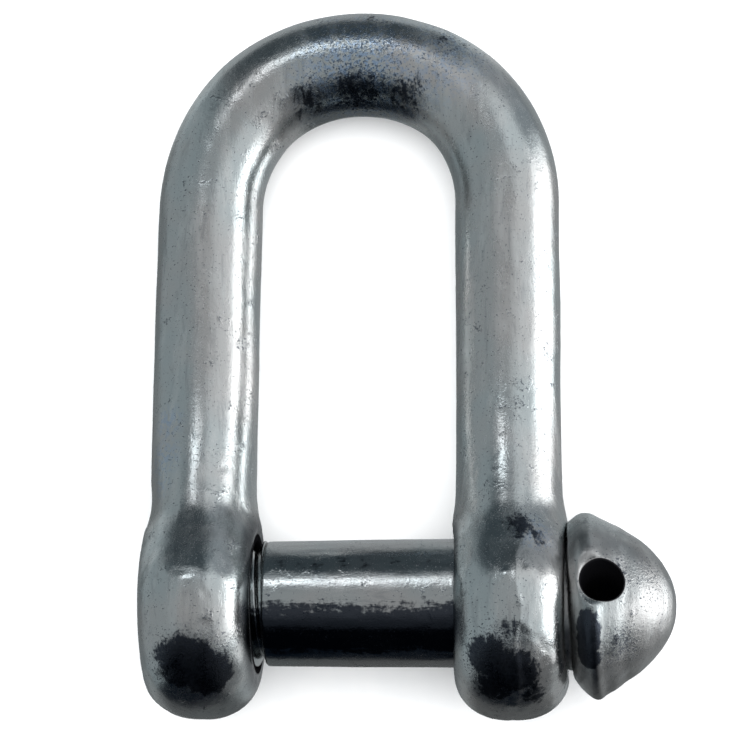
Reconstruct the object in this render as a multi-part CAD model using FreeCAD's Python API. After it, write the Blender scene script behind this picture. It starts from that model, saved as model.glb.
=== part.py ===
import FreeCAD, Part
import math
import os
from FreeCAD import Vector

# Long D shackle, nominal 10 mm, with a round-headed screw pin.
# Lengths are millimetres and angles are degrees.
# x runs along the pin towards its head, y towards the crown, z up.

# ---- bow: a round bar bent to a U ----
BAR_D = 10.0
INSIDE_W = 18.7          # between the legs at the crown
PIN_TO_CROWN = 53.0      # pin axis to the bar's centreline at the crown
SPLAY = 0.3              # each leg opens this much towards its ear

# ---- ears: thick round forged eyes at the ends of the legs ----
EAR_R = 10.73
EAR_RIM = 4.3            # radial depth of the elliptical rim
LEFT_EAR = (-19.60, -9.16)    # outer and inner faces, threaded ear
RIGHT_EAR = (9.62, 19.86)     # inner and outer faces, plain ear
FLARE_TOP = 22.0         # leg is still round here
FLARE_FOOT = 7.0         # the swelling ends here, inside the eye
FLARE_RATE = 0.0100      # side-view rise per square millimetre below FLARE_TOP
BLEND_SINK = 0.12        # the blend starts and ends this far under the skin
BLEND_STEPS = 9
FOOT_Y = 6.0             # the bar ends inside the eye
HOLE_PLAIN_D = 13.0
HOLE_CHAMFER = 0.45

# ---- thread, M12 coarse, right hand ----
PITCH = 1.75
THREAD_D = 12.0
MALE_MAJOR_R = 5.92
MALE_MINOR_R = 4.86
FEMALE_MINOR_R = 5.13
FEMALE_MAJOR_R = 6.10
FLANK_PLAY = 0.06        # taken off the ridge, added to the groove, each flank
FLANK_SLOPE = math.tan(math.radians(30.0))
TAP_CHAMFER = 0.75
WALL_R = 6.6             # the tapped hole's wall is cut out to here, then joined back

# ---- screw pin ----
PIN_D = 12.0
SHOULDER_X = -8.25       # shank ends, thread begins
TIP_X = -19.40           # threaded tip, just inside the ear's outer face
TIP_CHAMFER = 1.0
GRIP_D = 12.44           # the stretch inside the plain ear is a little thicker
GRIP_X = (9.40, 10.60)   # swell from the shank's size to the grip's
NECK_X = 18.90           # shank ends, head's neck begins, inside the plain ear
SHANK_EDGE = 0.20

# ---- pin head: a chunky forged frustum with a domed end ----
HEAD_X = 20.24           # bearing face of the head
HEAD_DROP = 0.36         # head forged slightly off the pin's axis
HEAD_TILT = 2.5          # bearing face out of square
FACE_R = 7.15
FACE_DROP = -0.30
RIDGE_X = 2.05
RIDGE_R = 8.74
CONE_X = 7.55
CONE_R = 5.72
HEAD_LEN = 9.80
EYE_D = 4.2
EYE_X = 3.05             # eye axis from the bearing face
EYE_LEAN = 9.0           # leans towards the crown
EYE_SINK_R = 3.0
EYE_SINK_DEPTH = 0.75

# ---- how it lies ----
REST_TILT = math.degrees(math.asin((EAR_R - BAR_D / 2) / PIN_TO_CROWN))

X_AXIS = Vector(1, 0, 0)
ORIGIN = Vector(0, 0, 0)
bar_r = BAR_D / 2
arc_r = INSIDE_W / 2 + bar_r
arc_y = PIN_TO_CROWN - arc_r
splay = math.radians(SPLAY)


def leg_x(y):
    """Centre of a leg at height y, right-hand side positive."""
    return arc_r * math.cos(splay) + (arc_y - arc_r * math.sin(splay) - y) * math.tan(splay)


def ring_points(centre, across, ax, az, count=24):
    """Points round an ellipse: ax along the unit vector across, az along z."""
    points = []
    for i in range(count):
        t = 2 * math.pi * i / count
        points.append(centre + across * (ax * math.cos(t)) + Vector(0, 0, az * math.sin(t)))
    return points


def ring_wire(points):
    curve = Part.BSplineCurve()
    curve.interpolate(Points=points, PeriodicFlag=True)
    return Part.Wire(curve.toShape())


# ---------------------------------------------------------------- shackle body

def eye(faces):
    """Round eye with an elliptical rim, turned about the pin's axis."""
    lo, hi = min(faces), max(faces)
    mid = (lo + hi) / 2
    half = (hi - lo) / 2
    shoulder = EAR_R - EAR_RIM
    rim = Part.Ellipse(Vector(mid + half, shoulder, 0), Vector(mid, EAR_R, 0), Vector(mid, shoulder, 0))
    arc = Part.ArcOfEllipse(rim, 0, math.pi).toShape()
    a = Vector(lo, 0, 0)
    b = Vector(lo, shoulder, 0)
    c = Vector(hi, shoulder, 0)
    d = Vector(hi, 0, 0)
    outline = Part.Wire(Part.__sortEdges__([
        Part.LineSegment(a, b).toShape(),
        arc,
        Part.LineSegment(c, d).toShape(),
        Part.LineSegment(d, a).toShape(),
    ]))
    return Part.Face(outline).revolve(ORIGIN, X_AXIS, 360)


def bow():
    """The bent bar, its ends buried in the eyes."""
    lean = arc_r * math.sin(splay)
    top_x = arc_r * math.cos(splay)
    left_foot = Vector(-leg_x(FOOT_Y), FOOT_Y, 0)
    left_top = Vector(-top_x, arc_y - lean, 0)
    right_top = Vector(top_x, arc_y - lean, 0)
    right_foot = Vector(leg_x(FOOT_Y), FOOT_Y, 0)
    path = Part.Wire([
        Part.LineSegment(left_foot, left_top).toShape(),
        Part.Arc(left_top, Vector(0, PIN_TO_CROWN, 0), right_top).toShape(),
        Part.LineSegment(right_top, right_foot).toShape(),
    ])
    section = Part.Wire(Part.makeCircle(bar_r, left_foot, left_top.sub(left_foot)))
    return path.makePipeShell([section], True, False)


def web(side):
    """Forged swelling of one leg towards its eye, seen from the side.

    It starts just under the bar's skin and ends inside the eye, so no two
    surfaces lie on each other.
    """
    thin = bar_r - BLEND_SINK
    rings = []
    for i in range(BLEND_STEPS + 1):
        y = FLARE_TOP + (FLARE_FOOT - FLARE_TOP) * i / BLEND_STEPS
        up = thin + FLARE_RATE * (FLARE_TOP - y) ** 2
        rings.append(ring_points(Vector(side * leg_x(y), y, 0), Vector(side, 0, 0), thin, up))
    return Part.makeLoft([ring_wire(ring) for ring in rings], True, False)


def thread_form(r_low, r_high, play):
    """Helical ridge solid; its axial half-width falls with radius."""
    pitch_r = THREAD_D / 2 - 0.3248 * PITCH
    low = PITCH / 4 - (r_low - pitch_r) * FLANK_SLOPE + play
    high = PITCH / 4 - (r_high - pitch_r) * FLANK_SLOPE + play
    start = TIP_X - 2 * PITCH
    height = SHOULDER_X - start + 2 * PITCH
    helix = Part.makeHelix(PITCH, height, (r_low + r_high) / 2)
    profile = Part.makePolygon([
        Vector(r_low, 0, -low),
        Vector(r_high, 0, -high),
        Vector(r_high, 0, high),
        Vector(r_low, 0, low),
        Vector(r_low, 0, -low),
    ])
    ridge = Part.Wire(helix.Edges).makePipeShell([profile], True, True)
    ridge.rotate(ORIGIN, Vector(0, 1, 0), 90)
    ridge.translate(Vector(start, 0, 0))
    return ridge


def chamfered_hole(r, lo, hi, c):
    """Hole along x with a chamfer opening at each face."""
    hole = Part.makeCylinder(r, hi - lo + 2, Vector(lo - 1, 0, 0), X_AXIS)
    near = Part.makeCone(r + 2 * c, r, 2 * c, Vector(lo - c, 0, 0), X_AXIS)
    far = Part.makeCone(r, r + 2 * c, 2 * c, Vector(hi - c, 0, 0), X_AXIS)
    return hole.fuse([near, far])


def turned_tube(x_lo, x_hi, r_in, r_out):
    """Tube about the pin's axis; a rod where the inner radius is 0."""
    outline = Part.makePolygon([
        Vector(x_lo, r_in, 0),
        Vector(x_lo, r_out, 0),
        Vector(x_hi, r_out, 0),
        Vector(x_hi, r_in, 0),
        Vector(x_lo, r_in, 0),
    ])
    return Part.Face(outline).revolve(ORIGIN, X_AXIS, 360)


def threaded_wall():
    """Wall of the tapped hole, as a tube a little longer than the ear is thick."""
    lo = LEFT_EAR[0] - 0.4
    hi = LEFT_EAR[1] + 0.4
    groove = thread_form(FEMALE_MINOR_R - 0.18, FEMALE_MAJOR_R, FLANK_PLAY)
    groove = groove.common(turned_tube(lo, hi, 0, WALL_R))
    return turned_tube(lo, hi, FEMALE_MINOR_R, WALL_R).cut(groove)


def shackle_body():
    body = bow().fuse([web(-1), web(1), eye(LEFT_EAR), eye(RIGHT_EAR)])
    body = body.cut(chamfered_hole(HOLE_PLAIN_D / 2, RIGHT_EAR[0], RIGHT_EAR[1], HOLE_CHAMFER))
    tapped = chamfered_hole(FEMALE_MINOR_R, LEFT_EAR[0], LEFT_EAR[1], TAP_CHAMFER)
    wall = threaded_wall().common(body.cut(tapped))
    rest = body.cut(turned_tube(LEFT_EAR[0] - 2, LEFT_EAR[1] + 2, 0, WALL_R))
    return rest.fuse(wall).removeSplitter()


# ------------------------------------------------------------------- screw pin

def pin_shank():
    """Plain bearing part of the pin, a body of revolution."""
    r = PIN_D / 2
    grip_r = GRIP_D / 2
    e = SHANK_EDGE
    outline = Part.makePolygon([
        Vector(SHOULDER_X, 0, 0),
        Vector(SHOULDER_X, r - e, 0),
        Vector(SHOULDER_X + e, r, 0),
        Vector(GRIP_X[0], r, 0),
        Vector(GRIP_X[1], grip_r, 0),
        Vector(NECK_X, grip_r, 0),
        Vector(NECK_X, 0, 0),
        Vector(SHOULDER_X, 0, 0),
    ])
    return Part.Face(outline).revolve(ORIGIN, X_AXIS, 360)


def pin_thread():
    core = Part.makeCylinder(MALE_MINOR_R, SHOULDER_X - TIP_X, Vector(TIP_X, 0, 0), X_AXIS)
    ridge = thread_form(MALE_MINOR_R - 0.2, MALE_MAJOR_R, -FLANK_PLAY)
    r = MALE_MAJOR_R + 0.3
    c = TIP_CHAMFER + 0.3
    envelope = Part.makePolygon([
        Vector(TIP_X, 0, 0),
        Vector(TIP_X, r - c, 0),
        Vector(TIP_X + c, r, 0),
        Vector(SHOULDER_X, r, 0),
        Vector(SHOULDER_X, 0, 0),
        Vector(TIP_X, 0, 0),
    ])
    turned = Part.Face(envelope).revolve(ORIGIN, X_AXIS, 360)
    return core.common(turned).fuse(ridge.common(turned))


def head_ring(x, r, drop, tilt):
    """Circle in a plane leaning by tilt about z, centre dropped below the axis."""
    lean = math.radians(tilt)
    normal = Vector(math.cos(lean), math.sin(lean), 0)
    start = Vector(0, 0, 1)
    side = normal.cross(start)
    centre = Vector(HEAD_X + x, -drop, 0)
    points = []
    for i in range(24):
        t = 2 * math.pi * i / 24
        points.append(centre + start * (r * math.cos(t)) + side * (r * math.sin(t)))
    return ring_wire(points)


def head_profile():
    """Rows of station, radius, drop and tilt from the bearing face to the end."""
    rows = []
    slope = (CONE_R - RIDGE_R) / (CONE_X - RIDGE_X)
    for s in (0.0, 0.12, 0.35, 0.65, 0.9):
        ease = math.sin(s * math.pi / 2) ** 0.9 if s > 0 else 0.0
        r = FACE_R + (RIDGE_R - FACE_R) * ease
        drop = FACE_DROP + (HEAD_DROP - FACE_DROP) * s
        rows.append((RIDGE_X * s, r - 0.04 * s, drop, HEAD_TILT))
    rows.append((RIDGE_X + 0.08, RIDGE_R - 0.03, HEAD_DROP, HEAD_TILT))
    for s in (0.12, 0.35, 0.6, 0.82, 1.0):
        x = RIDGE_X + (CONE_X - RIDGE_X) * s
        rows.append((x, RIDGE_R + slope * (x - RIDGE_X), HEAD_DROP, HEAD_TILT * (1 - s)))
    dome = HEAD_LEN - CONE_X
    for r in (5.28, 4.55, 3.65, 2.7, 1.8):
        s = (1 - (r / CONE_R) ** 2) ** 0.54
        rows.append((CONE_X + dome * s, r, HEAD_DROP, 0.0))
    return rows


def pin_head():
    rings = []
    for x, r, drop, tilt in head_profile():
        rings.append(head_ring(x, r, drop, tilt))
    head = Part.makeLoft(rings, True, False)
    neck = Part.makeCylinder(GRIP_D / 2, HEAD_X + 1.5 - NECK_X, Vector(NECK_X, 0, 0), X_AXIS)
    head = head.fuse(neck)
    # cross eye, sunk at both mouths
    lean = math.radians(EYE_LEAN)
    along = Vector(0, math.sin(lean), math.cos(lean))
    centre = Vector(HEAD_X + EYE_X, -HEAD_DROP, 0)
    eye_r = EYE_D / 2
    reach = RIDGE_R + 1
    cutter = Part.makeCylinder(eye_r, 2 * reach, centre - along * reach, along)
    mouth = EYE_SINK_R + 1.2
    rise = EYE_SINK_DEPTH * (mouth - eye_r) / (EYE_SINK_R - eye_r)
    surface = RIDGE_R - 0.25
    for way in (1, -1):
        base = centre + along * (way * (surface - EYE_SINK_DEPTH))
        cutter = cutter.fuse(Part.makeCone(eye_r, mouth, rise, base, along * way))
    return head.cut(cutter)


# ----------------------------------------------------------------------- write

def lay_down(shape):
    """Turn from the pin's own frame to the way the shackle lies."""
    shape = shape.copy()
    shape.rotate(ORIGIN, X_AXIS, -REST_TILT)
    return shape


def main():
    os.makedirs("parts", exist_ok=True)
    nodes = {
        "shackle_body": shackle_body(),
        "pin_shank": pin_shank(),
        "pin_head": pin_head(),
        "pin_thread": pin_thread(),
    }
    for name, shape in nodes.items():
        solid = lay_down(shape)
        if solid.ShapeType != "Solid" and len(solid.Solids) == 1:
            solid = solid.Solids[0]
        box = solid.BoundBox
        print(name, solid.ShapeType, solid.isValid(), round(solid.Volume, 2), len(solid.Faces))
        print("   x", round(box.XMin, 2), round(box.XMax, 2), "y", round(box.YMin, 2), round(box.YMax, 2),
              "z", round(box.ZMin, 2), round(box.ZMax, 2))
        solid.exportStep("parts/" + name + ".step")


main()
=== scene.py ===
import math

import bpy
import numpy as np
from mathutils import Matrix, Vector


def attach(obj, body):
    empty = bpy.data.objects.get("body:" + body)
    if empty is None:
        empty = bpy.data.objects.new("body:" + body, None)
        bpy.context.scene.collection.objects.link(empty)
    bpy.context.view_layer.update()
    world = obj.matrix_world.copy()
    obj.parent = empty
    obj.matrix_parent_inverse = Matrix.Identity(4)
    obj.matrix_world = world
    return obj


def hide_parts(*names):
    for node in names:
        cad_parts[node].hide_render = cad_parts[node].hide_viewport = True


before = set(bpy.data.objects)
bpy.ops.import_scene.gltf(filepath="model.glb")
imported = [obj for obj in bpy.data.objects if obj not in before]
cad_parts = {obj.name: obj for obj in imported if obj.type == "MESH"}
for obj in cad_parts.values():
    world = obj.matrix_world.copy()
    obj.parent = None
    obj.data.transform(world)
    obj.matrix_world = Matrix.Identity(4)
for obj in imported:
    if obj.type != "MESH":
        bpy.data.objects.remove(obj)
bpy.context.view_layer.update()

# Lengths in this script are millimetres until a mesh is written; MM turns them to metres.
# Shapes are worked in the pin's own frame: x along the pin, y to the crown, z up.
MM = 0.001
REST_TILT = math.asin((10.73 - 5.0) / 53.0)      # it lies on the rims of both eyes and the crown
LIE = Matrix.Rotation(-REST_TILT, 3, "X")        # pin's own frame to the frame as it lies
FLOOR_Z = -10.78 * MM
TURN = np.array(LIE)

BAR_R = 5.0
ARC_R = 14.35
ARC_Y = 38.65                                    # the legs end and the bend starts here
SPLAY = math.tan(math.radians(0.3))              # how much each leg leans outwards
FLARE_TOP = 22.0                                 # below this the legs swell towards the eyes
FLARE_RATE = 0.0100
FILLET = 1.3
LEFT_EYE_X, LEFT_EYE_HALF = -14.38, 5.22         # middle and half thickness of each eye
RIGHT_EYE_X, RIGHT_EYE_HALF = 14.74, 5.12
EYE_FLAT_R, EYE_ROUND = 6.43, 4.3                # flat face, then the rounding out to the rim
SHOULDER_LEAN = 0.80                             # the eyes are leaner on the side of their legs
PIN_R = 6.0
HEAD_X = 20.24                                   # bearing face of the head
HEAD_DROP = 0.36
CROSS_X = HEAD_X + 3.05                          # cross hole of the head
CROSS_LEAN = math.radians(9.0)


# ------------------------------------------------------------------ camera

CAM_PITCH, CAM_YAW, CAM_ROLL = 13.2112, 5.3303, -0.6128
CAM_DISTANCE = 318.46 * MM
CAM_OFFSET = (0.675 * MM, -2.938 * MM)
CAM_AIM = Vector((0.0, 26.0 * MM, 0.0))
CAM_LENS = 164.27


def make_camera():
    turn = (
        Matrix.Rotation(math.radians(CAM_ROLL), 3, "Z")
        @ Matrix.Rotation(-math.radians(CAM_PITCH), 3, "X")
        @ Matrix.Rotation(-math.radians(CAM_YAW), 3, "Y")
    )
    back = turn.transposed()
    place = LIE @ (back @ Vector((CAM_OFFSET[0], CAM_OFFSET[1], CAM_DISTANCE)) + CAM_AIM)
    data = bpy.data.cameras.new("camera")
    data.lens = CAM_LENS
    data.sensor_width = 36.0
    data.clip_start = 0.01
    data.clip_end = 20.0
    cam = bpy.data.objects.new("camera", data)
    bpy.context.scene.collection.objects.link(cam)
    cam.matrix_world = Matrix.Translation(place) @ (LIE @ back).to_4x4()
    bpy.context.scene.camera = cam


# ------------------------------------------------------------------ numbers on meshes

def smooth(edge0, edge1, value):
    t = np.clip((value - edge0) / (edge1 - edge0), 0.0, 1.0)
    return t * t * (3.0 - 2.0 * t)


def noise3(points, size, seed):
    """Smooth noise, about -1 to 1, with features of this size in mm."""
    rng = np.random.default_rng(seed)
    grid = rng.uniform(-1.0, 1.0, (32, 32, 32))
    p = points / size + 500.0
    cell = np.floor(p).astype(int)
    f = p - cell
    f = f * f * f * (f * (f * 6.0 - 15.0) + 10.0)
    total = np.zeros(len(points))
    for corner in range(8):
        step = np.array([corner & 1, (corner >> 1) & 1, (corner >> 2) & 1])
        weight = np.prod(np.where(step == 1, f, 1.0 - f), axis=1)
        at = (cell + step) % 32
        total += weight * grid[at[:, 0], at[:, 1], at[:, 2]]
    return total * 1.6


def read_mesh(mesh):
    co = np.empty(len(mesh.vertices) * 3, np.float32)
    mesh.vertices.foreach_get("co", co)
    return co.reshape(-1, 3).astype(float) / MM @ TURN


def write_mesh(mesh, points):
    co = (points @ TURN.T * MM).astype(np.float32)
    mesh.vertices.foreach_set("co", co.ravel())
    mesh.update()


def vertex_normals(mesh, points):
    write_mesh(mesh, points)
    n = np.empty(len(mesh.vertices) * 3, np.float32)
    mesh.vertex_normals.foreach_get("vector", n)
    return n.reshape(-1, 3).astype(float) @ TURN


def edge_pairs(mesh):
    pairs = np.empty(len(mesh.edges) * 2, np.int32)
    mesh.edges.foreach_get("vertices", pairs)
    return pairs.reshape(-1, 2)


def relax(points, pairs, rounds, amount, factors=(0.5, -0.52)):
    """Even out a surface; amount is 0 to 1 for each point.

    The second factor undoes the shrinking of the first. With one factor, corners are worn off.
    """
    count = np.bincount(pairs.ravel(), minlength=len(points)).astype(float)[:, None]
    for _ in range(rounds):
        for factor in factors:
            total = np.zeros_like(points)
            for axis in range(3):
                total[:, axis] = (
                    np.bincount(pairs[:, 0], points[pairs[:, 1], axis], len(points))
                    + np.bincount(pairs[:, 1], points[pairs[:, 0], axis], len(points))
                )
            points = points + (total / count - points) * (factor * amount[:, None])
    return points


def remeshed(node, name, voxel):
    """A finer, even copy of a CAD node's skin, as a new object at the origin."""
    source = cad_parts[node]
    mesh = source.data.copy()
    work = bpy.data.objects.new(name + ".work", mesh)
    bpy.context.scene.collection.objects.link(work)
    mod = work.modifiers.new("remesh", "REMESH")
    mod.mode = "VOXEL"
    mod.voxel_size = voxel * MM
    mod.adaptivity = 0.0
    bpy.context.view_layer.update()
    graph = bpy.context.evaluated_depsgraph_get()
    fine = bpy.data.meshes.new_from_object(work.evaluated_get(graph), depsgraph=graph)
    bpy.data.objects.remove(work)
    bpy.data.meshes.remove(mesh)
    fine.name = name
    fine.materials.clear()
    piece = bpy.data.objects.new(name, fine)
    bpy.context.scene.collection.objects.link(piece)
    fine.polygons.foreach_set("use_smooth", [True] * len(fine.polygons))
    return piece


# ------------------------------------------------------------------ shackle body

def ridge(across, along, start, end, width, fade):
    """Height 0 to 1 of a thin line: across is the distance from it."""
    line = np.exp(-((across / width) ** 2))
    return line * smooth(start - fade, start + fade, along) * (1.0 - smooth(end - fade, end + fade, along))


def bump_at(points, centre, radius):
    gap = np.linalg.norm(points - np.array(centre), axis=1)
    return np.exp(-((gap / radius) ** 2))


def bar_frame(points):
    """Nearest place on the bar's centreline, and how far round its bend."""
    x, y, _ = points.T
    side = np.where(x >= 0, 1.0, -1.0)
    splay = (ARC_Y - y) * SPLAY
    leg = np.stack([side * (ARC_R + np.maximum(splay, 0.0)), y, np.zeros_like(y)], axis=1)
    angle = np.arctan2(y - ARC_Y, x)
    bend = np.stack([ARC_R * np.cos(angle), ARC_Y + ARC_R * np.sin(angle), np.zeros_like(y)], axis=1)
    on_leg = (y < ARC_Y)[:, None]
    return np.where(on_leg, leg, bend), np.where(y < ARC_Y, np.where(x >= 0, 0.0, math.pi), angle)


def skin(points):
    """Distance outside the legs and eyes, joined by a fillet that is larger at their sides."""
    x, y, z = points.T
    side = np.where(x >= 0, 1.0, -1.0)
    aside = x - side * (ARC_R + (ARC_Y - y) * SPLAY)
    low = np.minimum(y - 6.0, 0.0)
    tall = BAR_R + FLARE_RATE * np.clip(FLARE_TOP - y, 0.0, 16.0) ** 2
    size = np.sqrt((aside / BAR_R) ** 2 + (z / tall) ** 2 + (low / BAR_R) ** 2) + 1e-9
    pull = np.sqrt((aside / BAR_R ** 2) ** 2 + (z / tall ** 2) ** 2 + (low / BAR_R ** 2) ** 2) + 1e-9
    bar = (size - 1.0) * size / pull

    middle = np.where(x >= 0, RIGHT_EYE_X, LEFT_EYE_X)
    half = np.where(x >= 0, RIGHT_EYE_HALF, LEFT_EYE_HALF)
    toward = np.degrees(np.arctan2(y, np.abs(z)))
    from_axis = np.hypot(y, z)
    lean = smooth(0.0, 29.0, toward) * (1.0 - smooth(62.0, 84.0, toward)) * smooth(6.8, 8.6, from_axis)
    across = (x - middle) / half
    up = np.maximum(from_axis + SHOULDER_LEAN * lean - EYE_FLAT_R, 0.0) / EYE_ROUND
    rho = np.sqrt(across ** 2 + up ** 2) + 1e-9
    slope = np.sqrt((across / half) ** 2 + (up / EYE_ROUND) ** 2) / rho + 1e-9
    eye = (rho - 1.0) / slope

    fillet = FILLET + 1.1 * smooth(0.45, 0.95, np.abs(aside) / BAR_R)
    gap = np.maximum(fillet - np.abs(bar - eye), 0.0) / fillet
    return np.minimum(bar, eye) - gap ** 3 * fillet / 6.0


def onto_skin(points, amount):
    """Move points along the slope of skin until it is 0; amount is 0 to 1 for each point."""
    probe = 0.01
    longest = 0.8
    for _ in range(4):
        value = skin(points)
        grad = np.empty_like(points)
        for axis in range(3):
            ahead = points.copy()
            ahead[:, axis] += probe
            grad[:, axis] = (skin(ahead) - value) / probe
        size = np.sum(grad ** 2, axis=1) + 1e-6
        step = np.clip(value / size, -longest, longest) * amount
        points = points - grad * step[:, None]
    return points


def make_body():
    piece = remeshed("shackle_body", "forged_body", 0.2)
    mesh = piece.data
    points = read_mesh(mesh)
    pairs = edge_pairs(mesh)
    x, y, z = points.T
    from_axis = np.hypot(y, z)
    in_hole = 1.0 - smooth(6.7, 7.4, from_axis)
    bar = smooth(21.5, 23.5, y)

    # the bar comes back to a true round; the eyes and the swelling legs go onto their smooth skin
    centre, bend = bar_frame(points)
    out = points - centre
    reach = np.linalg.norm(out, axis=1)[:, None]
    points = points * (1.0 - bar[:, None]) + (centre + out / reach * BAR_R) * bar[:, None]
    points = relax(points, pairs, 4, 1.0 - in_hole * 0.75)
    points = onto_skin(points, (1.0 - bar) * (1.0 - in_hole))
    points = relax(points, pairs, 10, (1.0 - bar) * (1.0 - in_hole))

    # the bend is a touch square at its shoulders, and the legs are not quite even
    shoulder = np.exp(-(((bend - 0.80) / 0.34) ** 2)) + 0.7 * np.exp(-(((bend - 2.35) / 0.34) ** 2))
    away = np.stack([np.cos(bend), np.sin(bend), np.zeros_like(bend)], axis=1)
    points = points + away * (0.20 * shoulder * smooth(30.0, 40.0, y))[:, None]
    x, y, z = points.T
    points[:, 0] -= 0.09 * smooth(8.0, 22.0, y) * (1.0 - smooth(36.0, 48.0, y))

    normal = vertex_normals(mesh, points)
    left = x < 0
    keep = 1.0 - in_hole

    # eyes: fuller low down, leaner where the left one meets its leg
    low = smooth(2.0, 9.0, -y)
    corner = np.abs(normal[:, 0]) * np.hypot(normal[:, 1], normal[:, 2]) * 2.0
    lift = np.where(left, 0.22 * corner, 0.24 * corner + 0.14) * low
    outer = smooth(0.2, 0.8, np.abs(normal[:, 0]))
    corner_zone = outer * smooth(2.0, 5.0, y) * (1.0 - smooth(8.5, 11.5, y))
    lift -= np.where(left & (x < -16.0), 0.20, 0.0) * corner_zone

    # hand of the forge: long swells, small dents
    lift += 0.045 * noise3(points, 7.0, 11) + 0.020 * noise3(points * [1, 0.6, 1], 3.1, 12)
    lift += 0.0075 * noise3(points, 1.3, 13)
    rough = smooth(0.0, 0.5, noise3(points, 4.2, 14)) * (1.0 - smooth(11.0, 17.0, y))
    lift += rough * (0.022 * noise3(points, 0.75, 15) + 0.016 * noise3(points, 1.2, 19))

    # trim lines left by the dies
    wander = 0.30 * noise3(points * [0, 1, 0], 5.0, 16) + 0.10 * noise3(points * [0, 1, 0], 1.4, 17)
    on_top = z > 0
    line_l = x + 17.78 + 0.035 * (35.5 - y) * -1.0 + 0.45 * wander
    lift += np.where(left & on_top, 0.075 * ridge(line_l, y, 15.0, 37.5, 0.30, 2.5), 0.0)
    line_r = x - 11.75 - 0.45 * wander
    lift += np.where(~left & on_top, 0.060 * ridge(line_r, y, 18.5, 30.5, 0.42, 0.8), 0.0)
    seam = x - 15.72 + 0.25 * noise3(points * [0, 1, 1], 2.5, 18)
    lift += np.where(~left & on_top, 0.10 * ridge(seam, -y, -3.0, 9.5, 0.34, 1.6), 0.0)
    step = smooth(-0.35, 0.35, seam) * smooth(1.5, 5.0, -y) * on_top
    lift -= np.where(~left, 0.05, 0.0) * step

    # knocks
    for centre_mm, radius, height in (
        ((14.66, 1.05, 10.67), 0.42, 0.10),
        ((16.72, 1.47, 10.28), 0.40, 0.08),
        ((16.03, 12.2, 4.85), 0.50, 0.12),
        ((14.9, -1.4, 10.6), 0.55, 0.06),
        ((15.9, -2.2, 10.3), 0.5, -0.07),
        ((-13.6, 10.9, 5.6), 0.9, -0.08),
        ((-16.4, 43.2, 4.4), 0.6, -0.07),
        ((-12.8, -3.4, 9.9), 0.7, -0.06),
        ((-11.4, 2.2, 9.6), 0.8, -0.06),
    ):
        lift += height * bump_at(points, centre_mm, radius)

    points = points + normal * (lift * keep)[:, None]
    points = relax(points, pairs, 1, keep)
    write_mesh(mesh, points)
    return piece


# ------------------------------------------------------------------ screw pin

def make_shank():
    """Turned in one surface from the shoulder to the neck, with its own slight unevenness."""
    stations = [-8.25, -8.22, -8.12, -8.0]
    stations += list(np.linspace(-7.8, 9.2, 150))
    stations += list(np.linspace(9.4, 10.8, 12))
    stations += list(np.linspace(11.0, 18.9, 50))
    stations = np.array(stations)
    around = 180
    radius = np.interp(
        stations,
        [-8.25, -8.22, -8.12, -8.0, -4.0, 0.0, 7.5, 9.4, 10.7, 18.9],
        [5.55, 5.70, 5.80, 5.84, 5.90, 5.97, 6.00, 6.02, 6.22, 6.22],
    )
    angle = np.arange(around) * 2.0 * math.pi / around
    grid_r = np.repeat(radius[:, None], around, axis=1)
    xs = np.repeat(stations[:, None], around, axis=1)
    round_y = np.repeat(np.sin(angle)[None, :], len(stations), axis=0)
    round_z = np.repeat(np.cos(angle)[None, :], len(stations), axis=0)
    probe = np.stack([xs, PIN_R * round_y, PIN_R * round_z], axis=2).reshape(-1, 3)
    lift = 0.014 * noise3(probe * [0.35, 1, 1], 3.2, 31)
    lift += 0.006 * noise3(probe * [0.30, 1, 1], 0.9, 32)
    lift += 0.004 * noise3(probe, 0.8, 33)
    grid_r = grid_r + lift.reshape(grid_r.shape) * smooth(-8.1, -7.4, xs)
    verts = np.stack([xs, grid_r * round_y, grid_r * round_z], axis=2).reshape(-1, 3)
    ends = np.array([[stations[0], 0.0, 0.0], [stations[-1], 0.0, 0.0]])
    verts = np.vstack([verts, ends])
    faces = []
    for i in range(len(stations) - 1):
        for j in range(around):
            k = (j + 1) % around
            faces.append((i * around + j, i * around + k, (i + 1) * around + k, (i + 1) * around + j))
    first = len(stations) * around
    last = (len(stations) - 1) * around
    for j in range(around):
        k = (j + 1) % around
        faces.append((first, k, j))
        faces.append((first + 1, last + j, last + k))
    mesh = bpy.data.meshes.new("turned_shank")
    mesh.from_pydata((verts @ TURN.T * MM).tolist(), [], faces)
    mesh.polygons.foreach_set("use_smooth", [True] * len(mesh.polygons))
    piece = bpy.data.objects.new("turned_shank", mesh)
    bpy.context.scene.collection.objects.link(piece)
    return piece


# The head's end: its reach from a place inside it, from straight out to square off the axis.
DOME_X = 23.5
DOME_BEARINGS = (0.0, 7.9, 21.3, 32.8, 45.3, 56.4, 65.3, 75.0, 88.0)
DOME_REACH = (6.50, 6.52, 6.56, 6.53, 6.58, 6.74, 6.93, 7.17, 7.875)


def off_cross_hole(points):
    """From the axis of the head's cross hole out to each point."""
    lean = np.array([0.0, math.sin(CROSS_LEAN), math.cos(CROSS_LEAN)])
    rel = points - np.array([CROSS_X, -HEAD_DROP, 0.0])
    return rel - np.outer(rel @ lean, lean)


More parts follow.
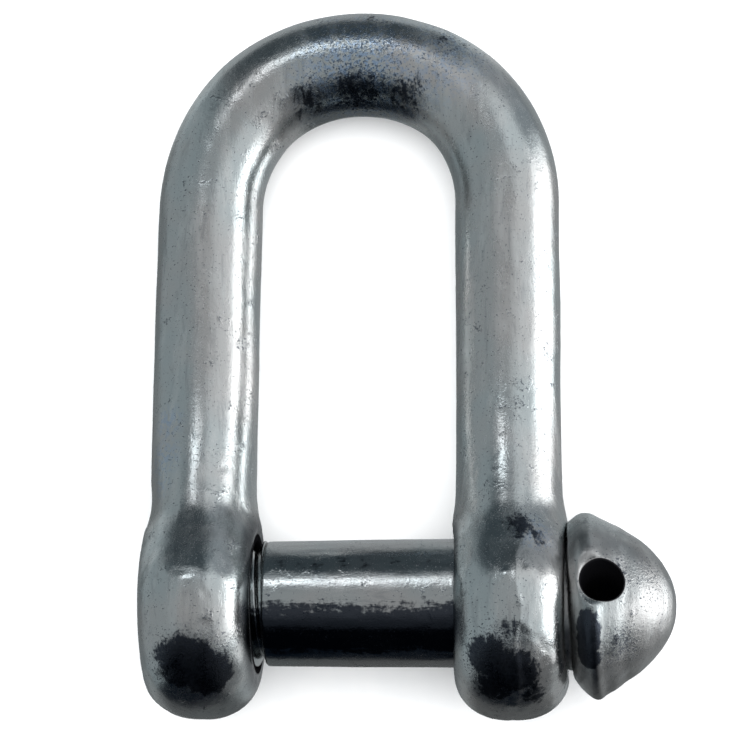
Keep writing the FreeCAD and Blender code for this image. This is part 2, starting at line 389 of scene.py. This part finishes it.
def make_head():
    piece = remeshed("pin_head", "forged_head", 0.13)
    mesh = piece.data
    points = read_mesh(mesh)
    pairs = edge_pairs(mesh)
    x = points[:, 0]
    neck = 1.0 - smooth(19.9, 20.2, x)
    in_eye = 1.0 - smooth(2.15, 2.4, np.linalg.norm(off_cross_hole(points), axis=1))
    free = (1.0 - neck) * (1.0 - in_eye)
    points = relax(points, pairs, 5, 1.0 - 0.6 * in_eye)
    points = relax(points, pairs, 8, free * 0.6)

    # the end is drawn to its dome, then it and the ridge are worn a little
    start = np.array([DOME_X, -HEAD_DROP, 0.0])
    rel = points - start
    rho = np.hypot(rel[:, 1], rel[:, 2]) + 1e-9
    bearing = np.degrees(np.arctan2(rho, rel[:, 0]))
    wanted = np.interp(bearing, DOME_BEARINGS, DOME_REACH)
    dome = smooth(24.0, 25.4, points[:, 0]) * free
    scale = 1.0 + (wanted / np.hypot(rel[:, 0], rho) - 1.0) * dome
    points = start + rel * scale[:, None]
    ridge_zone = smooth(20.6, 21.6, x) * (1.0 - smooth(22.8, 23.8, x))
    points = relax(points, pairs, 30, np.maximum(dome, 0.6 * ridge_zone * free), factors=(0.5,))

    normal = vertex_normals(mesh, points)
    x, y, _ = points.T
    lift = 0.045 * noise3(points, 4.0, 41) + 0.016 * noise3(points, 1.8, 42)
    lift += 0.006 * noise3(points, 0.8, 43)
    lift += 0.10 * smooth(4.0, 8.0, -y) * (1.0 - smooth(20.9, 22.1, x))
    for centre_mm, radius, height in (
        ((25.6, -4.6, 5.0), 1.1, -0.07),
        ((24.2, -5.8, 5.2), 0.7, -0.06),
        ((26.3, 2.4, 5.2), 0.8, -0.06),
        ((24.9, 5.2, 4.2), 0.8, -0.05),
    ):
        lift += height * bump_at(points, centre_mm, radius)
    points = points + normal * (lift * free)[:, None]
    off = off_cross_hole(points)
    tight = 0.065 * (1.0 - smooth(2.2, 3.4, np.linalg.norm(off, axis=1)))
    points = points - off * tight[:, None]
    write_mesh(mesh, points)
    return piece


def make_thread():
    piece = remeshed("pin_thread", "rolled_thread", 0.11)
    mesh = piece.data
    points = read_mesh(mesh)
    pairs = edge_pairs(mesh)
    points = relax(points, pairs, 3, np.ones(len(points)))
    normal = vertex_normals(mesh, points)
    points = points + normal * (0.006 * noise3(points, 0.9, 51))[:, None]
    write_mesh(mesh, points)
    return piece


# ------------------------------------------------------------------ node helpers

class Graph:
    """Short names for building a node tree."""

    def __init__(self, tree):
        self.tree = tree
        tree.nodes.clear()

    def add(self, kind):
        return self.tree.nodes.new(kind)

    def put(self, socket, value):
        if isinstance(value, bpy.types.NodeSocket):
            self.tree.links.new(value, socket)
        else:
            socket.default_value = value

    def math(self, op, a, b=None, clamp=False):
        node = self.add("ShaderNodeMath")
        node.operation = op
        node.use_clamp = clamp
        self.put(node.inputs[0], a)
        if b is not None:
            self.put(node.inputs[1], b)
        return node.outputs[0]

    def vector(self, op, a, b=None):
        node = self.add("ShaderNodeVectorMath")
        node.operation = op
        self.put(node.inputs[0], a)
        if b is not None:
            self.put(node.inputs[1], b)
        return node.outputs["Value" if op in ("DISTANCE", "LENGTH") else "Vector"]

    def ramp(self, value, lo, hi, to_lo=0.0, to_hi=1.0):
        node = self.add("ShaderNodeMapRange")
        node.interpolation_type = "SMOOTHSTEP"
        self.put(node.inputs["Value"], value)
        self.put(node.inputs["From Min"], lo)
        self.put(node.inputs["From Max"], hi)
        self.put(node.inputs["To Min"], to_lo)
        self.put(node.inputs["To Max"], to_hi)
        return node.outputs["Result"]

    def noise(self, vector, size_mm, detail=3.0, rough=0.55, distortion=0.0):
        node = self.add("ShaderNodeTexNoise")
        self.put(node.inputs["Vector"], vector)
        self.put(node.inputs["Scale"], 1.0 / (size_mm * MM))
        self.put(node.inputs["Detail"], detail)
        self.put(node.inputs["Roughness"], rough)
        self.put(node.inputs["Distortion"], distortion)
        return node.outputs["Fac"]

    def stretch(self, vector, sx, sy, sz, move=(0.0, 0.0, 0.0)):
        node = self.add("ShaderNodeMapping")
        self.put(node.inputs["Vector"], vector)
        self.put(node.inputs["Scale"], (sx, sy, sz))
        self.put(node.inputs["Location"], tuple(m * MM for m in move))
        return node.outputs["Vector"]

    def mix(self, factor, a, b):
        node = self.add("ShaderNodeMix")
        node.data_type = "RGBA"
        self.put(node.inputs[0], factor)
        self.put(node.inputs[6], a)
        self.put(node.inputs[7], b)
        return node.outputs[2]


# ------------------------------------------------------------------ materials

def blob(g, place, centre, radius, soft):
    """1 within a radius of a place, fading over soft. Centre in the pin's frame, mm."""
    at = tuple(v * MM for v in LIE @ Vector(centre))
    gap = g.vector("DISTANCE", place, at)
    return g.ramp(gap, (radius - soft) * MM, (radius + soft) * MM, 1.0, 0.0)


def spots(g, place, rows, mask=None):
    """The strongest of several blobs, and of a mask where there is one."""
    for centre, radius, soft, strength in rows:
        spot = g.math("MULTIPLY", blob(g, place, centre, radius, soft), strength)
        mask = spot if mask is None else g.math("MAXIMUM", mask, spot)
    return mask


def near_axis(g, place, through, along, radius, soft):
    """1 close to a line through a place, both in the pin's frame, mm."""
    at = tuple(v * MM for v in LIE @ Vector(through))
    line = tuple(LIE @ Vector(along).normalized())
    gap = g.vector("LENGTH", g.vector("CROSS_PRODUCT", g.vector("SUBTRACT", place, at), line))
    return g.ramp(gap, (radius - soft) * MM, (radius + soft) * MM, 1.0, 0.0)


def inner_faces(g, place, reach, inner):
    """1 on what faces the middle of the shackle round the pin, out to a reach."""
    parts = g.add("ShaderNodeSeparateXYZ")
    g.put(parts.inputs[0], place)
    aside = g.math("ABSOLUTE", parts.outputs[0])
    facing = g.ramp(aside, (inner - 0.35) * MM, (inner + 0.35) * MM, 1.0, 0.0)
    return g.math("MULTIPLY", facing, near_axis(g, place, (0.0, 0.0, 0.0), (1.0, 0.0, 0.0), reach, 1.0))


def zinc(name, tint, pin=False, sooty=(), scale_and_dark_reflection=(), blue=(), shaded_bores=(), shaded=None, coarse=0.0):
    """Zinc plate over forged steel: cloudy tone, satin to bright patches, pores, grain, black scale,
    painted dark reflection and painted shade.

    sooty, blue and the black rows are rows of places; the black rows are partly black scale and partly
    painted dark reflection. The bores given are painted near black inside as painted shade; shaded is the
    reach and the inner face round the pin where the colour is darkened as painted shade; coarse makes it
    duller and rougher.
    """
    mat = bpy.data.materials.new(name)
    mat.use_nodes = True
    g = Graph(mat.node_tree)
    out = g.add("ShaderNodeOutputMaterial")
    bsdf = g.add("ShaderNodeBsdfPrincipled")
    g.put(out.inputs["Surface"], bsdf.outputs["BSDF"])
    place = g.add("ShaderNodeTexCoord").outputs["Object"]
    along = g.stretch(place, 0.18, 1.0, 1.0) if pin else g.stretch(place, 1.0, 0.16, 1.0)

    clouds = g.noise(place, 9.0, 3.0, 0.5)
    streaks = g.noise(along, 1.5, 4.0, 0.6)
    mottle = g.noise(place, 1.9, 4.0, 0.62, 0.4)
    grain = g.noise(place, 0.21, 2.0, 0.6)
    fine = g.noise(place, 0.42, 3.0, 0.7)
    torn = g.noise(along, 0.9, 5.0, 0.72, 0.6)

    cool, warm, pale = tint
    colour = g.mix(g.ramp(clouds, 0.38, 0.62), cool, warm)
    colour = g.mix(g.ramp(streaks, 0.46, 0.72, 0.0, 0.65), colour, pale)
    dim = g.ramp(torn, 0.30, 0.47, 0.42, 0.0)
    colour = g.mix(dim, colour, (0.33, 0.345, 0.36, 1.0))

    # pores and soot, thick in some places and thin in most
    bare = spots(g, place, sooty, g.ramp(mottle, 0.56, 0.74))
    if blue:
        tinge = g.math("MULTIPLY", spots(g, place, blue), g.ramp(fine, 0.42, 0.60))
        colour = g.mix(tinge, colour, (0.36, 0.56, 0.86, 1.0))
    pores = g.ramp(g.math("ADD", grain, g.math("MULTIPLY", bare, 0.16)), 0.635, 0.70)
    colour = g.mix(g.math("MULTIPLY", pores, 0.70), colour, (0.07, 0.085, 0.12, 1.0))
    flecks = g.ramp(g.math("SUBTRACT", fine, g.math("MULTIPLY", bare, -0.05)), 0.66, 0.74)
    colour = g.mix(g.math("MULTIPLY", flecks, 0.5), colour, (0.86, 0.88, 0.90, 1.0))

    # black scale with torn edges, where the plating did not take; the same marks also paint dark
    # reflection where the surface only mirrors something dark
    if scale_and_dark_reflection:
        edge = g.math("ADD", g.math("MULTIPLY", torn, 1.3), g.math("MULTIPLY", fine, 0.7))
        black = g.math("ADD", spots(g, place, scale_and_dark_reflection), g.math("SUBTRACT", edge, 1.0))
        black = g.ramp(black, 0.38, 0.66)
        colour = g.mix(g.math("MULTIPLY", black, 0.95), colour, (0.040, 0.048, 0.066, 1.0))
    # painted shade: the eye faces round the pin are darkened where the shadow falls between eye and pin.
    if shaded:
        scale = g.math("MULTIPLY", inner_faces(g, place, *shaded), 0.9)
        colour = g.mix(scale, colour, (0.05, 0.055, 0.065, 1.0))
    # painted shade: inside the bores and on their edges the colour goes near black and loses its shine.
    painted_bore_shade = None
    for line in shaded_bores:
        near = near_axis(g, place, *line)
        painted_bore_shade = near if painted_bore_shade is None else g.math("MAXIMUM", painted_bore_shade, near)
    if painted_bore_shade is not None:
        colour = g.mix(painted_bore_shade, colour, (0.006, 0.006, 0.007, 1.0))
        g.put(bsdf.inputs["Metallic"], g.math("SUBTRACT", 1.0, painted_bore_shade))
        g.put(bsdf.inputs["Specular IOR Level"], g.ramp(painted_bore_shade, 0.0, 1.0, 0.5, 0.0))
    else:
        bsdf.inputs["Metallic"].default_value = 1.0
    g.put(bsdf.inputs["Base Color"], colour)

    smoothest, dullest = (0.12, 0.25) if pin else (0.16 + coarse, 0.31 + coarse)
    sheen = g.math("ADD", g.math("MULTIPLY", clouds, 0.5), g.math("MULTIPLY", streaks, 0.5))
    rough = g.ramp(sheen, 0.38, 0.62, smoothest, dullest)
    rough = g.math("ADD", rough, g.math("MULTIPLY", bare, 0.05))
    rough = g.math("ADD", rough, g.math("MULTIPLY", pores, 0.16), clamp=True)
    g.put(bsdf.inputs["Roughness"], rough)

    height = g.math("MULTIPLY", grain, g.ramp(bare, 0.0, 1.0, 0.5, 3.2))
    height = g.math("ADD", height, g.math("MULTIPLY", fine, 0.8))
    height = g.math("ADD", height, g.math("MULTIPLY", mottle, 1.6))
    height = g.math("ADD", height, g.math("MULTIPLY", torn, 1.2))
    height = g.math("ADD", height, g.math("MULTIPLY", streaks, 1.6))
    height = g.math("SUBTRACT", height, g.math("MULTIPLY", pores, 0.5))
    bump = g.add("ShaderNodeBump")
    bump.inputs["Strength"].default_value = 1.0
    bump.inputs["Distance"].default_value = (0.010 if pin else 0.014 + 0.10 * coarse) * MM
    g.put(bump.inputs["Height"], height)
    g.put(bsdf.inputs["Normal"], bump.outputs["Normal"])
    return mat


BODY_TINT = ((0.60, 0.645, 0.65, 1.0), (0.655, 0.645, 0.635, 1.0), (0.80, 0.81, 0.80, 1.0))
HEAD_TINT = ((0.46, 0.495, 0.50, 1.0), (0.50, 0.495, 0.49, 1.0), (0.74, 0.75, 0.745, 1.0))
PIN_TINT = ((0.54, 0.58, 0.585, 1.0), (0.59, 0.585, 0.58, 1.0), (0.74, 0.75, 0.745, 1.0))

# Centre, radius, softness and strength of each marked place, in the pin's frame. Soot is many pores, the
# dark rows are partly black scale and partly painted dark reflection, and blue is a tinge of the plating.
BODY_SOOT = (
    ((0.0, 50.5, 4.4), 4.6, 4.0, 0.75),
    ((8.5, 53.5, 3.5), 3.4, 3.0, 0.55),
    ((16.2, 6.6, 8.2), 1.9, 1.6, 0.8),
    ((-14.4, 6.4, 8.6), 2.4, 2.2, 0.35),
    ((14.0, -6.6, 8.4), 3.2, 1.6, 0.8),
    ((-14.2, -7.0, 8.1), 3.4, 1.6, 0.8),
    ((-11.6, -5.2, 8.6), 1.5, 1.4, 0.7),
)
# Partly black scale, partly painted dark reflection: the dark low on the fronts of both eyes and the dark
# bands across the crown are painted in.
BODY_SCALE_AND_DARK_REFLECTION = (
    ((-14.6, -6.8, 8.3), 2.9, 1.6, 1.0),
    ((-12.9, -7.7, 7.5), 2.7, 1.6, 1.0),
    ((-16.6, -5.9, 8.0), 1.5, 1.2, 0.8),
    ((13.1, -6.3, 8.5), 2.2, 1.4, 1.0),
    ((15.2, -7.6, 7.6), 2.5, 1.5, 0.95),
    ((13.3, -8.7, 6.2), 1.9, 1.5, 0.85),
    ((17.2, -9.2, 5.1), 1.5, 1.4, 0.72),
    ((14.9, -3.9, 9.9), 1.2, 1.0, 0.7),
    ((15.9, 6.1, 8.4), 1.8, 1.5, 0.72),
    ((17.4, 5.0, 8.0), 1.2, 1.1, 0.6),
    ((0.0, 49.2, 3.4), 3.0, 2.4, 0.62),
    ((-4.6, 48.6, 3.4), 2.4, 2.2, 0.55),
    ((4.6, 48.9, 3.4), 2.6, 2.2, 0.58),
    ((1.5, 56.6, 3.2), 2.4, 2.4, 0.46),
    ((-3.5, 56.2, 3.2), 2.2, 2.4, 0.42),
    ((9.0, 54.0, 3.3), 2.4, 2.2, 0.46),
)
BODY_BLUE = (
    ((0.5, 50.6, 4.4), 5.0, 4.0, 0.75),
    ((8.0, 52.0, 4.2), 3.4, 3.0, 0.45),
    ((-17.4, 13.0, 4.1), 1.6, 1.4, 0.40),
    ((-17.3, 16.5, 4.1), 1.3, 1.2, 0.45),
    ((-17.4, 10.5, 4.2), 1.1, 1.0, 0.35),
    ((17.2, 5.4, 8.2), 1.6, 1.4, 0.5),
)
HEAD_SOOT = (
    ((25.0, -4.8, 5.4), 1.9, 1.4, 1.0),
    ((24.4, 1.9, 6.6), 1.6, 1.3, 0.8),
    ((27.2, 1.6, 4.6), 2.0, 1.8, 0.55),
    ((22.4, -6.0, 6.6), 1.2, 1.0, 0.8),
)
# Partly black scale, partly painted dark reflection: the first four rows paint the dark that the bevel
# mirrors along its lower front.
HEAD_SCALE_AND_DARK_REFLECTION = (
    ((22.1, -2.6, 8.0), 0.9, 0.8, 0.9),
    ((21.9, -3.6, 7.7), 1.2, 0.7, 1.2),
    ((21.9, -4.8, 7.1), 1.25, 0.7, 1.2),
    ((21.9, -6.1, 6.1), 1.2, 0.7, 1.2),
    ((24.7, 1.7, 6.9), 1.0, 0.9, 0.55),
    ((24.4, -4.6, 6.0), 1.1, 1.0, 0.5),
)
# Partly black scale, partly painted dark reflection: a dark band along the pin's lower front and a row of
# dark marks along a stripe above its middle.
PIN_SCALE_AND_DARK_REFLECTION = tuple(
    ((at, -3.3, 4.8), 2.8, 1.9, 0.9) for at in (-7.0, -4.6, -2.2, 0.2, 2.6, 5.0, 7.4, 9.8)
) + tuple(
    ((at, 3.0, 5.2), 0.8, 1.2, 0.55) for at in (-6.4, -4.8, -3.2, -0.6, 1.4, 4.2, 7.2)
)


# ------------------------------------------------------------------ studio

# Soft panels round the object: azimuth centre, half width and softness, lowest and highest
# elevation and softness, all in degrees, then brightness and tint. A half width of 180 or
# more goes all round, and an elevation of NO_EDGE has no edge. The panels add to DARK_SIDE.
NO_EDGE = 120
PANELS = (
    (0, 200, 1, 62, NO_EDGE, 14, 0.370, (0.97, 1.00, 1.01)),         # ceiling
    (4, 22, 28, -30, 22, 18, 2.90, (0.98, 1.00, 1.01)),              # brightest, beyond the head
    (15, 50, 24, 20, 62, 16, 0.72, (0.96, 1.00, 1.02)),              # over it
    (52, 20, 24, -30, 20, 16, 0.30, (0.92, 1.00, 1.06)),             # beside it, to the crown
    (-44, 20, 20, -36, 36, 12, 0.16, (0.98, 1.00, 1.00)),            # beside it, to the pin
    (15, 65, 24, -NO_EDGE, -32, 12, 0.34, (0.96, 1.00, 1.01)),       # under it
    (95, 35, 20, 36, 62, 8, 0.33, (0.96, 1.00, 1.03)),               # high, beyond the crown
    (98, 36, 20, -20, 38, 10, 0.060, (0.80, 1.00, 1.08)),            # dark wall beyond the crown
    (105, 40, 24, -NO_EDGE, -20, 14, 0.40, (0.94, 1.00, 1.02)),      # floor beyond the crown
    (178, 46, 20, -30, 62, 14, 0.33, (0.89, 1.00, 1.035)),           # wall on the threaded side
    (180, 45, 24, -NO_EDGE, -32, 12, 0.19, (0.92, 1.00, 1.01)),      # floor on that side
    (-105, 45, 14, 43, 62, 8, 0.13, (0.92, 1.00, 1.06)),             # high, on the pin's side
    (-98, 55, 20, -NO_EDGE, -35, 8, 0.11, (0.97, 1.00, 0.98)),       # floor on the pin's side
    (106, 11, 12, 46, 55, 6, 2.30, (0.96, 1.00, 1.03)),              # small and bright, beyond the crown
)
DARK_SIDE = (0.004, 0.007, 0.012, 1.0)


def make_world():
    world = bpy.data.worlds.new("studio")
    bpy.context.scene.world = world
    world.use_nodes = True
    g = Graph(world.node_tree)
    out = g.add("ShaderNodeOutputWorld")
    look = g.add("ShaderNodeTexCoord").outputs["Generated"]
    split = g.add("ShaderNodeSeparateXYZ")
    g.put(split.inputs[0], look)
    x, y, z = split.outputs
    rise = g.math("MULTIPLY", g.math("ARCSINE", z), 180.0 / math.pi)
    turn = g.math("MULTIPLY", g.math("ARCTAN2", y, x), 180.0 / math.pi)
    total = DARK_SIDE
    for mid, half, soft, low, high, blur, power, tint in PANELS:
        mask = None
        if half < 180:
            gap = g.math("SUBTRACT", turn, float(mid))
            gap = g.math("PINGPONG", gap, 180.0)
            mask = g.ramp(gap, half - soft / 2, half + soft / 2, 1.0, 0.0)
        if low > -90:
            part = g.ramp(rise, low - blur / 2, low + blur / 2)
            mask = part if mask is None else g.math("MULTIPLY", mask, part)
        if high < 90:
            part = g.ramp(rise, high - blur / 2, high + blur / 2, 1.0, 0.0)
            mask = part if mask is None else g.math("MULTIPLY", mask, part)
        node = g.add("ShaderNodeMix")
        node.data_type = "RGBA"
        node.blend_type = "ADD"
        g.put(node.inputs[0], mask)
        g.put(node.inputs[6], total)
        g.put(node.inputs[7], tuple(power * t for t in tint) + (1.0,))
        total = node.outputs[2]
    glow = g.add("ShaderNodeBackground")
    g.put(glow.inputs["Color"], total)
    plain = g.add("ShaderNodeBackground")
    g.put(plain.inputs["Color"], (0.93, 0.94, 0.945, 1.0))
    path = g.add("ShaderNodeLightPath")
    pick = g.add("ShaderNodeMixShader")
    g.put(pick.inputs[0], path.outputs["Is Camera Ray"])
    g.put(pick.inputs[1], glow.outputs[0])
    g.put(pick.inputs[2], plain.outputs[0])
    g.put(out.inputs["Surface"], pick.outputs[0])


def make_floor():
    half = 2.5
    mesh = bpy.data.meshes.new("floor")
    mesh.from_pydata(
        [(-half, -half, FLOOR_Z), (half, -half, FLOOR_Z), (half, half, FLOOR_Z), (-half, half, FLOOR_Z)],
        [],
        [(0, 1, 2, 3)],
    )
    floor = bpy.data.objects.new("floor", mesh)
    bpy.context.scene.collection.objects.link(floor)
    mat = bpy.data.materials.new("floor")
    mat.use_nodes = True
    g = Graph(mat.node_tree)
    out = g.add("ShaderNodeOutputMaterial")
    bsdf = g.add("ShaderNodeBsdfPrincipled")
    bsdf.inputs["Roughness"].default_value = 0.9
    bsdf.inputs["Specular IOR Level"].default_value = 0.1
    place = g.add("ShaderNodeTexCoord").outputs["Object"]
    paper = g.noise(place, 6.0, 3.0)
    tone = g.mix(g.ramp(paper, 0.3, 0.7), (0.90, 0.905, 0.91, 1), (0.93, 0.93, 0.93, 1))
    g.put(bsdf.inputs["Base Color"], tone)
    g.put(out.inputs["Surface"], bsdf.outputs["BSDF"])
    floor.data.materials.append(mat)
    floor.visible_glossy = False


def make_lamp():
    """Wide overhead light for the floor and its soft shadow; the metal reflects the panels."""
    data = bpy.data.lights.new("overhead", "AREA")
    data.shape = "SQUARE"
    data.size = 1.6
    data.energy = 34.0
    lamp = bpy.data.objects.new("overhead", data)
    lamp.location = (0.15, 0.1, 1.1)
    lamp.visible_glossy = False
    bpy.context.scene.collection.objects.link(lamp)
    lamp.rotation_euler = Vector((0.15, 0.1, 1.1)).to_track_quat("Z", "Y").to_euler()


# ------------------------------------------------------------------ put together

make_camera()
make_world()
make_floor()
make_lamp()

# A place on each hole's axis, the way it runs, its radius and softness.
PIN_HOLE = ((0.0, 0.0, 0.0), (1.0, 0.0, 0.0), 6.70, 0.20)
CROSS_HOLE = ((CROSS_X, -HEAD_DROP, 0.0), (0.0, math.sin(CROSS_LEAN), math.cos(CROSS_LEAN)), 2.13, 0.06)

BODY_ZINC = zinc(
    "body_zinc", BODY_TINT, sooty=BODY_SOOT, scale_and_dark_reflection=BODY_SCALE_AND_DARK_REFLECTION, blue=BODY_BLUE,
    shaded_bores=(PIN_HOLE,), shaded=(8.2, 10.1),
)
PIN_ZINC = zinc("pin_zinc", PIN_TINT, pin=True, scale_and_dark_reflection=PIN_SCALE_AND_DARK_REFLECTION)
HEAD_ZINC = zinc(
    "head_zinc", HEAD_TINT, sooty=HEAD_SOOT, scale_and_dark_reflection=HEAD_SCALE_AND_DARK_REFLECTION, shaded_bores=(CROSS_HOLE,), coarse=0.08,
)

for build, material, node, body, slot in (
    (make_body, BODY_ZINC, "shackle_body", "body", "body_zinc"),
    (make_shank, PIN_ZINC, "pin_shank", "pin", "pin_zinc"),
    (make_head, HEAD_ZINC, "pin_head", "screw", "pin_zinc"),
    (make_thread, PIN_ZINC, "pin_thread", "screw", "pin_zinc"),
):
    piece = build()
    piece.data.materials.append(material)
    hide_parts(node)
    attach(piece, body)

bpy.context.scene.view_settings.view_transform = "Standard"
